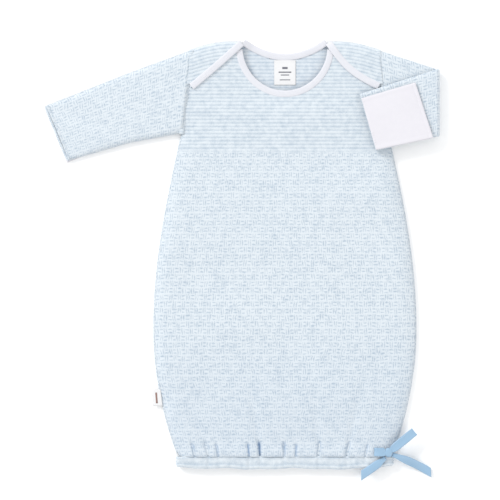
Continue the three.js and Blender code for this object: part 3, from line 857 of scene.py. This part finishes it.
CUFFS = {"left": (high, (0.962, 0.275, 0), UP, half),
         "right": (mouth_middle, (-0.924, -0.383, 0), MOUTH, MOUTH_HALF)}
for side_name, (level, way, lift, half_height) in CUFFS.items():
    ring = mouth_ring(*CUFF_ENDS[side_name], level, lift, half_height)
    edge = sweep(f"cuff_roll_{side_name}", ring, way, oval(3.4 * MM, 1.7 * MM, 12), knit,
                 closed=True, cells=(1, 2.1 * MM), basket=1.0)
    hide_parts(f"sleeve_edge_{side_name}")
    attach(edge, f"forearm_{side_name}")

# %% [markdown]
# ## Mitts
# Each mitt is a plain white interlock flap with a narrow turned hem on its free edge and a lumpy
# overlocked seam at the cuff. It lies back on the sleeve and rides on its own hinge.


# %% Mitt flaps
def mitt(side_name, corners, level, loft):
    """corners run from the cuff's two ends to the free edge's two ends. loft is 1 for a flap that
    lies loose on top and 0 for one that is pressed flat under the sleeve."""
    root_a, root_b, free_b, free_a = (np.array(c) * MM for c in corners)
    n, m = 60, 64
    s, t = np.linspace(0, 1, n)[:, None, None], np.linspace(0, 1, m)[None, :, None]
    flat = mix(mix(root_a, root_b, s), mix(free_a, free_b, s), t)
    x, y = flat[..., 0], flat[..., 1]
    s, t = s[..., 0], t[..., 0]
    puff = 0.8 * MM * np.sin(np.pi * s) ** 0.6 * np.sin(np.pi * np.clip(t, 0, 1)) ** 0.5
    hem_roll = 0.5 * MM * (t > 0.945) - 0.35 * MM * np.exp(-((t - 0.94) / 0.006) ** 2)
    side_roll = 0.35 * MM * (np.exp(-((s - 0.03) / 0.03) ** 2) + np.exp(-((s - 0.97) / 0.03) ** 2))
    z = level + loft * (0.9 * MM + puff + hem_roll + side_roll + 0.5 * ripple(x * 2, y * 2))
    cells = np.stack(np.broadcast_arrays(s * 40, t * 40), 2)
    flap = knit_shell(f"mitt_{side_name}", np.stack([x, y, z], 2), cells, mitt_white,
                      basket=np.zeros((n, m)), height=0.0, thick=0.85 * MM,
                      flip=True)
    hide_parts(f"mitt_flap_{side_name}")
    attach(flap, f"mitt_{side_name}")

    inset = 1.5 * MM * (free_a - root_a) / np.linalg.norm(free_a - root_a)
    line = resample([(*(root_a + inset + (root_b - root_a) * k), level + (0.45 + 0.4 * loft) * MM)
                     for k in np.linspace(0.005, 0.995, 9)], 0.5 * MM)
    steps = np.arange(len(line))
    lump = 1 + 0.30 * np.sin(steps * 1.05) + 0.15 * np.sin(steps * 0.31)
    profile = oval(2.4 * MM, (0.7 + 1.4 * loft) * MM, 12)[None] * lump[:, None, None]
    seam = sweep(f"mitt_seam_{side_name}", line, flat_side(line), profile, mitt_white)
    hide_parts(f"mitt_overlock_{side_name}")
    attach(seam, f"mitt_{side_name}")


MITT_TOP = reach("mitt_flap_left", LOW, Z)
mitt("left", [(91.3, 187.3), (108.9, 125.8), (177.3, 140.2), (155.8, 206.4)], MITT_TOP, 1)
mitt("right", [(-287.4, 171.9), (-262.1, 111.1), (-200.6, 136.4), (-223.6, 196.0)], 0.05 * MM, 0)

# %% [markdown]
# ## Shoulder laps and bindings
# The back panel comes over the shoulder and laps the front. Its cut edge is bound in white, like
# both necklines. The laps' courses follow the slope of the shoulder.


# %% Laps
LAP_ENDS = ((54 * MM, 252.5 * MM), (110.5 * MM, 203.5 * MM))
LAP_SAG = {1: 6 * MM, -1: 0.5 * MM}


def lap_edge(hand, t):
    """A point of the lap's bound edge, 0 at the neck to 1 at the armhole."""
    (x0, y0), (x1, y1) = LAP_ENDS
    sag = LAP_SAG[hand] * np.sin(np.pi * t)
    length = math.hypot(x1 - x0, y1 - y0)
    return mix(x0, x1, t) - sag * (y0 - y1) / length, mix(y0, y1, t) - sag * (x1 - x0) / length


def lap_height(x, y):
    below = np.clip((shoulder_y(x) - y) / (5 * MM), 0, 1)
    tucked = 1.1 * MM * np.exp(-((np.abs(x) - 57 * MM) / (7 * MM)) ** 2)
    return 0.9 * MM + (front_height(x, y) + 0.9 * MM + tucked) * np.sqrt(1 - (1 - below) ** 2)


for side_name, hand in (("left", 1), ("right", -1)):
    per = 4
    share = np.linspace(0, 1, 15 * per + 1)[:, None]
    rows = np.arange(13 * per + 1)[::-1][None] / per
    depth = rows * 4.2 * MM
    xs = mix(52 * MM, side_half(SHOULDER_Y - depth) + 0.8 * MM, share)
    ys = shoulder_y(xs) - depth
    edge_y = np.interp(xs, *lap_edge(hand, np.linspace(0, 1, 40)))
    cells = np.stack(np.broadcast_arrays(share * 15, rows), 2)
    mid_y = (ys[:-1:per, :-1:per] + ys[per::per, per::per]) / 2
    mid_edge = (edge_y[:-1:per, :-1:per] + edge_y[per::per, per::per]) / 2
    points = np.stack(np.broadcast_arrays(hand * xs, ys, lap_height(xs, ys)), 2)
    lap = knit_shell(f"lap_{side_name}", points, cells, knit, basket=np.zeros(points.shape[:2]),
                     height=0.4 * MM, coarse=(per, per), thick=0.7 * MM,
                     keep=mid_y > mid_edge - 0.5 * MM, flip=hand < 0)
    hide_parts(f"shoulder_lap_{side_name}")
    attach(lap, "gown")


# %% Bindings
def bound_edge(name, xy, heights, thick, node, width=BINDING):
    line = resample(np.column_stack([xy, heights]), 0.5 * MM)
    steps = np.arange(len(line))
    scallop = 1 + 0.035 * np.sin(steps * 0.5 / 2.3 * 2 * np.pi)
    profile = oval(width, thick, 24, 2.6)[None] * scallop[:, None, None]
    groove = np.abs(np.abs(profile[..., 0]) - 1.2 * MM) < 0.5 * MM
    profile = profile * np.stack([np.ones(groove.shape), 1 - 0.12 * groove], -1)
    piece = sweep(name, line, flat_side(line), profile, binding_white)
    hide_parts(node)
    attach(piece, "gown")
    return line

# %% Neck and lap bindings
stitched = {}
a = np.linspace(math.radians(4), math.radians(176), 90)
neck_x = FRONT_NECK[0] * np.cos(a)
neck_y = FRONT_NECK_TOP - FRONT_NECK[1] * np.sin(a)
neck_z = front_height(neck_x, neck_y) + 0.1 * MM
stitched["front_neck"] = bound_edge("neck_edge_front", np.column_stack([neck_x, neck_y]), neck_z,
                                    2.3 * MM, "front_neck_binding")
for side_name, hand in (("left", 1), ("right", -1)):
    t = np.linspace(-0.03, 1.03, 60)
    x, y = lap_edge(hand, t)
    z = lap_height(x, y) - 0.1 * MM
    z = mix(np.maximum(z, 3.2 * MM), z, smooth(0, 0.12, t))
    stitched[f"lap_{side_name}"] = bound_edge(
        f"lap_edge_{side_name}", np.column_stack([hand * x, y]), z, 2.7 * MM,
        f"lap_binding_{side_name}", width=8.4 * MM)
x = np.linspace(-1, 1, 80) * 49.5 * MM
y = back_neck_y(x) - 0.6 * MM
z = 1.3 * MM + 3.2 * MM * smooth(38 * MM, 51 * MM, np.abs(x))
stitched["back_neck"] = bound_edge("neck_edge_back", np.column_stack([x, y]), z, 2.4 * MM,
                                   "back_neck_binding")
print("bound edges", list(stitched))

# %% [markdown]
# ## Hem
# The casing is a flattened ring round the whole hem with the elastic inside. It is narrow where a
# gather pinches it and full between, and its lower edge runs in and out with the gathers.

# %% Hem casing and elastic
HEM_MID = (HEM_Y + HEM_TOP_Y) / 2
HEM_OUT = reach("hem_casing", HIGH, X)
RING_HIGH = HEM_HEIGHT - 1.6 * MM
RING_LOW = 1.6 * MM


def hem_ring(step, drop):
    """The middle line of the casing: front from left to right, round the side, back, round."""
    reach_x = HEM_OUT - 4.5 * MM
    top = [(x, RING_HIGH) for x in np.arange(-reach_x, reach_x, step)]
    bend = np.linspace(np.pi / 2, -np.pi / 2, 9)[1:-1]
    middle_z, half_z = (RING_HIGH + RING_LOW) / 2, (RING_HIGH - RING_LOW) / 2
    right = [(reach_x + 3 * MM * math.cos(b), middle_z + half_z * math.sin(b)) for b in bend]
    low = [(x, RING_LOW) for x in np.arange(reach_x, -reach_x, -step)]
    left = [(-x, 2 * middle_z - z) for x, z in right]
    ring = np.array(top + right + low + left)
    return np.column_stack([ring[:, 0], np.full(len(ring), HEM_MID - drop), ring[:, 1]])


BAND = HEM_TOP_Y - HEM_Y - 4 * MM
ring = hem_ring(1.0 * MM, 2 * MM)
x, front_side = ring[:, 0], ring[:, 2] > HEM_HEIGHT / 2
pinch = np.zeros(len(ring))
for at in GATHERS:
    pinch += front_side * np.exp(-(((x - at * MM) / (2.2 * MM)) ** 2))
ruffle = (0.5 * np.sin(x / MM * 0.52 + 1.0) + 0.35 * np.sin(x / MM * 0.91)
          + 0.3 * np.sin(x / MM * 0.23))
corner = smooth(HEM_OUT - 26 * MM, HEM_OUT - 3 * MM, np.abs(x))
slow_wave = np.sin(x / MM * 0.07 + 0.8) + 0.6 * np.sin(x / MM * 0.16)
ring[:, 2] += np.where(front_side, 0.2, 0.1) * MM * ruffle - 0.3 * MM * pinch
outline = oval(BAND, 2.9 * MM, 40, 3.0)
double = 1 + 0.30 * np.cos(2 * np.pi * (outline[:, 0] / (5.0 * MM)))
profile = np.stack([
    outline[None, :, 0] * (1 + 0.02 * ruffle[:, None] - 0.22 * corner[:, None])
    + MM * (0.7 * slow_wave + 1.6 * corner)[:, None],
    (outline[:, 1] * double)[None] * (1 - 0.15 * pinch[:, None] + 0.08 * ruffle[:, None])], 2)
casing = sweep("hem_casing_cloth", ring, (0, 1, 0), profile, knit, closed=True,
               cells=(7, 5.2 * MM), turned=True)
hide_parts("hem_casing")
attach(casing, "gown")

elastic_line = hem_ring(3 * MM, 2 * MM)
elastic = sweep("hem_elastic_band", elastic_line, (0, 1, 0), oval(6 * MM, 0.9 * MM, 10),
                elastic_white, closed=True)
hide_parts("hem_elastic")
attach(elastic, "gown")

# %% [markdown]
# ## Labels
# The neck label is a woven square with plain grey bars where print would be. The side tab is a
# folded woven loop held in the side seam.


# %% Labels
def soft_plate(name, corners, z, thick, finish, n=24, bow=0.25 * MM):
    """A thin plate between four corners, its middle slightly raised."""
    a, b, c, d = (np.array(p) * MM for p in corners)
    s, t = np.linspace(0, 1, n)[:, None, None], np.linspace(0, 1, n)[None, :, None]
    flat = mix(mix(a, b, s), mix(d, c, s), t)
    s, t = s[..., 0], t[..., 0]
    height = z + thick + bow * np.sin(np.pi * s) * np.sin(np.pi * t)
    cells = np.stack(np.broadcast_arrays(s, t), 2)
    return knit_shell(name, np.dstack([flat, height]), cells, finish, thick=thick,
                      basket=np.zeros((n, n)), height=0.0)

# %% Neck label
LABEL_Z = reach("neck_label", LOW, Z)
label = soft_plate("neck_label_cloth", [(-13, 204.2), (13, 204.2), (13, 234.2), (-13, 234.2)],
                   LABEL_Z, 0.6 * MM, label_white)
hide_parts("neck_label")
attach(label, "neck_label")
BARS = [(224.8, 3.2, 2.6), (219.8, 7.6, 1.5), (216.4, 5.0, 1.2), (210.6, 6.2, 1.0)]
for k, (y, half_length, thick) in enumerate(BARS):
    bar = soft_plate(f"label_bar_{k}", [
        (-half_length, y - thick / 2), (half_length, y - thick / 2),
        (half_length, y + thick / 2), (-half_length, y + thick / 2)],
        LABEL_Z + 0.62 * MM, 0.28 * MM, label_grey, n=6, bow=0.0)
    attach(bar, "neck_label")

# %% Side tab
TAB_Z = reach("side_tab", LOW, Z)
tab = soft_plate("side_tab_cloth", [(-158.4, -182.0), (-147.0, -181.4), (-149.4, -161.5),
                                    (-159.2, -162.0)], TAB_Z, 0.6 * MM, label_white, n=12)
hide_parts("side_tab")
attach(tab, "side_tab")
tab_line = soft_plate("side_tab_line", [(-154.9, -178.2), (-152.7, -178.2), (-153.7, -165.3),
                                        (-155.9, -165.3)], TAB_Z + 0.75 * MM, 0.15 * MM,
                      tab_brown, n=6, bow=0.0)
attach(tab_line, "side_tab")

# %% [markdown]
# ## Bow
# One satin ribbon, 10 mm wide, tied flat on the hem. Each loop goes out low and comes back high;
# each tail lies out from the knot and is cut on the slant.

# %% Bow
KNOT = np.array([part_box("bow_knot")[LOW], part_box("bow_knot")[HIGH]]).mean(0)
RIBBON_WIDTH = 10 * MM
RIBBON = 0.5 * MM


def ribbon(name, line, widths, node, body, slant=0.0, twist=0.0):
    line = np.asarray(line)
    heading = line[-1, :2] - line[0, :2] if slant else line[len(line) // 2, :2] - line[0, :2]
    side = np.array([-heading[1], heading[0], 0])
    side /= np.linalg.norm(side)
    roll = np.sin(np.linspace(0, np.pi, len(line)))[:, None] * twist
    sides = side + roll * np.array([0, 0, 1])
    across = np.linspace(-0.5, 0.5, 9)
    cup = 0.5 * MM * (1 - (2 * across) ** 2)
    loop = np.concatenate([np.stack([across, cup + RIBBON / 2], 1),
                           np.stack([across[::-1], cup[::-1] - RIBBON / 2], 1)])
    profile = np.repeat(loop[None], len(line), 0)
    profile[..., 0] *= np.asarray(widths)[:, None]
    piece = sweep(name, line, sides, profile, satin, cells=(1, RIBBON_WIDTH))
    if slant:
        mesh = piece.data
        way = heading / np.linalg.norm(heading)
        end = line[-1, :2] @ way
        for vertex in mesh.vertices:
            at = np.array(vertex.co[:2])
            near = smooth(end - 8 * MM, end, at @ way)
            shift = slant * ((at - line[-1, :2]) @ side[:2]) * near
            vertex.co.x += way[0] * shift
            vertex.co.y += way[1] * shift
    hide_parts(node)
    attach(piece, body)
    return piece

# %% Loops


def loop_line(heading, reach_out, low, rise, start):
    """Out along the bottom, round the end, back over the top."""
    c, s = math.cos(math.radians(heading)), math.sin(math.radians(heading))
    t = np.linspace(0, 2 * np.pi, 48)
    out = start + (reach_out - start) * (1 - np.cos(t)) / 2
    lift = low + rise * (t / (2 * np.pi)) + rise * 0.55 * -np.sin(t) * np.sin(t / 2) ** 0.5
    return np.column_stack([KNOT[0] + c * out, KNOT[1] + s * out, lift])


pinched = 0.55 + 0.45 * smooth(0, 0.5, np.sin(np.linspace(0, np.pi, 48)))
ribbon("bow_loop_left_satin", loop_line(39, 40 * MM, KNOT[2] - 1.8 * MM, 3.4 * MM, 3.6 * MM),
       pinched * RIBBON_WIDTH, "bow_loop_left", "loop_left")
ribbon("bow_loop_right_satin", loop_line(178, 17.5 * MM, KNOT[2] - 1.8 * MM, 3.4 * MM, 3.6 * MM),
       pinched * RIBBON_WIDTH, "bow_loop_right", "loop_right")

# %% Tails


def tail_line(root, heading, length, z_near, z_far, sway):
    """From root, in mm beside the knot, out along the heading."""
    c, s = math.cos(math.radians(heading)), math.sin(math.radians(heading))
    t = np.linspace(0, 1, 40)
    out = length * t
    drift = sway * np.sin(np.pi * t)
    z = mix(z_near, z_far, smooth(0, 1, t)) + 0.5 * MM * np.sin(t * 7)
    x, y = KNOT[0] + root[0] * MM, KNOT[1] + root[1] * MM
    return np.column_stack([x + c * out - s * drift, y + s * out + c * drift, z])


widen = (0.5 + 0.5 * smooth(0, 0.4, np.linspace(0, 1, 40))) * RIBBON_WIDTH
ribbon("bow_tail_left_satin",
       tail_line((4.6, -2.6), -25.6, 52 * MM, 12.2 * MM, 2.2 * MM, 1.2 * MM),
       widen, "bow_tail_left", "tail_left", slant=-0.55, twist=0.25)
ribbon("bow_tail_right_satin",
       tail_line((-3.9, -6.7), -144, 36 * MM, 12.1 * MM, 11.2 * MM, 0.6 * MM),
       widen, "bow_tail_right", "tail_right", slant=0.7)

# %% Knot
knot_line = KNOT + np.linspace(-5.4, 5.4, 15)[:, None] * MM * np.array([0.15, 0.99, 0])
girth = np.sqrt(np.clip(1 - np.linspace(-0.98, 0.98, 15) ** 4, 0.02, 1))
knot = sweep("bow_knot_satin", knot_line, (1, -0.15, 0),
             oval(9.2 * MM, 4.6 * MM, 24, 2.6)[None] * girth[:, None, None], satin)
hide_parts("bow_knot")
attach(knot, "gown")

# %% [markdown]
# ## Stitches
# A node group lays one short thread after another along a line: the coverstitch on the bindings,
# the row that holds the hem, and the stitches along the top of the label.

# %% Stitch node group
rows = bpy.data.node_groups.new("stitch_rows", "GeometryNodeTree")
rows.interface.new_socket("Geometry", in_out="INPUT", socket_type="NodeSocketGeometry")
for label, value in (("Pitch", 2.2 * MM), ("Length", 1.6 * MM), ("Thickness", 0.36 * MM)):
    socket = rows.interface.new_socket(label, in_out="INPUT", socket_type="NodeSocketFloat")
    socket.default_value = value
rows.interface.new_socket("Finish", in_out="INPUT", socket_type="NodeSocketMaterial")
rows.interface.new_socket("Geometry", in_out="OUTPUT", socket_type="NodeSocketGeometry")


def row_node(kind, **links):
    node = rows.nodes.new(kind)
    for label, source in links.items():
        socket = node.inputs[label.replace("_", " ")]
        if hasattr(source, "links"):
            rows.links.new(source, socket)
        else:
            socket.default_value = source
    return node


row_in = rows.nodes.new("NodeGroupInput").outputs
line_curve = row_node("GeometryNodeMeshToCurve", Mesh=row_in["Geometry"])
spaced = rows.nodes.new("GeometryNodeCurveToPoints")
spaced.mode = "LENGTH"
rows.links.new(line_curve.outputs[0], spaced.inputs["Curve"])
rows.links.new(row_in["Pitch"], spaced.inputs["Length"])
bead = row_node("GeometryNodeMeshIcoSphere", Radius=0.5, Subdivisions=2)
size = row_node("ShaderNodeCombineXYZ", X=row_in["Thickness"], Y=row_in["Thickness"],
                Z=row_in["Length"])
vary = rows.nodes.new("FunctionNodeRandomValue")
vary.data_type = "FLOAT"
vary.inputs["Seed"].default_value = 4
for socket in vary.inputs:
    if socket.type == "VALUE" and socket.enabled:
        socket.default_value = {"Min": 0.85, "Max": 1.1}.get(socket.name, socket.default_value)
uneven_size = row_node("ShaderNodeVectorMath")
uneven_size.operation = "SCALE"
rows.links.new(size.outputs[0], uneven_size.inputs[0])
rows.links.new([o for o in vary.outputs if o.enabled][0], uneven_size.inputs["Scale"])
laid = row_node("GeometryNodeInstanceOnPoints", Points=spaced.outputs["Points"],
                Instance=bead.outputs["Mesh"], Rotation=spaced.outputs["Rotation"],
                Scale=uneven_size.outputs[0])
solid = row_node("GeometryNodeRealizeInstances", Geometry=laid.outputs[0])
painted = row_node("GeometryNodeSetMaterial", Geometry=solid.outputs[0],
                   Material=row_in["Finish"])
rows.links.new(painted.outputs[0], rows.nodes.new("NodeGroupOutput").inputs[0])

# %% Rows of stitches


def stitch(name, lines, body, finish, pitch=2.2 * MM, length=1.6 * MM, thick=0.36 * MM):
    """Rows of stitches along lines of points, as one closed-mesh piece."""
    verts, edges = [], []
    for line in lines:
        edges += [(len(verts) + k, len(verts) + k + 1) for k in range(len(line) - 1)]
        verts += [tuple(p) for p in line]
    mesh = bpy.data.meshes.new(name + "_line")
    mesh.from_pydata(verts, edges, [])
    guide = bpy.data.objects.new(name + "_line", mesh)
    bpy.context.scene.collection.objects.link(guide)
    modifier = guide.modifiers.new("stitches", "NODES")
    modifier.node_group = rows
    names = {item.name: item.identifier for item in rows.interface.items_tree
             if item.in_out == "INPUT"}
    for label, value in (("Pitch", pitch), ("Length", length), ("Thickness", thick),
                         ("Finish", finish)):
        modifier[names[label]] = value
    bpy.context.view_layer.update()
    made = bpy.data.meshes.new_from_object(guide.evaluated_get(
        bpy.context.evaluated_depsgraph_get()))
    guide.modifiers.remove(modifier)
    bpy.data.objects.remove(guide)
    made.name = name
    piece = link(name, made, finish)
    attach(piece, body)
    print(name, len(made.polygons), "faces")
    return piece


# %% [markdown]
# The coverstitch runs in two rows along the middle of each binding. Single rows hold the hem, the
# top of the label and the free edge of the mitt that can be seen.

# %% Stitches on bindings, hem, mitts and labels


def beside(line, offset, lift):
    """A line moved sideways and up."""
    side = flat_side(line)
    side /= np.linalg.norm(side, axis=1, keepdims=True)
    return line + side * offset + np.array([0, 0, lift])


BINDING_LIFT = {"front_neck": 1.04, "back_neck": 1.1, "lap_left": 1.22, "lap_right": 1.22}
for label, line in stitched.items():
    lift = BINDING_LIFT[label] * MM
    pair = [beside(line[2:-2], offset, lift) for offset in (-1.2 * MM, 1.2 * MM)]
    stitch(f"stitches_{label}", pair, "gown", thread)

HEM_ROW_HALF = 112 * MM
x = np.linspace(-HEM_ROW_HALF, HEM_ROW_HALF, 200)
y = np.full(200, HEM_TOP_Y - 3.2 * MM)
line = np.column_stack([x, y, front_height(x, y) + 0.45 * MM])
stitch("stitches_hem_0", [line], "gown", thread, pitch=2.6 * MM, thick=0.45 * MM)

label_top = LABEL_Z + 0.72 * MM
corners = [(-12, 232.2), (12, 232.2)]
stitch("stitches_label", [resample([(*np.array(c) * MM, label_top) for c in corners], 1 * MM)],
       "neck_label", thread, pitch=1.9 * MM, thick=0.3 * MM)

flap_edge = np.array([(176.2, 142.6), (155.0, 204.4)]) * MM
line = resample(np.column_stack([flap_edge, np.full(2, MITT_TOP + 1.25 * MM)]), 1 * MM)
inward = np.array([-2.9, -0.9, 0]) * MM
stitch("stitches_mitt_left", [line + inward], "mitt_left", thread, pitch=2.4 * MM, thick=0.3 * MM)
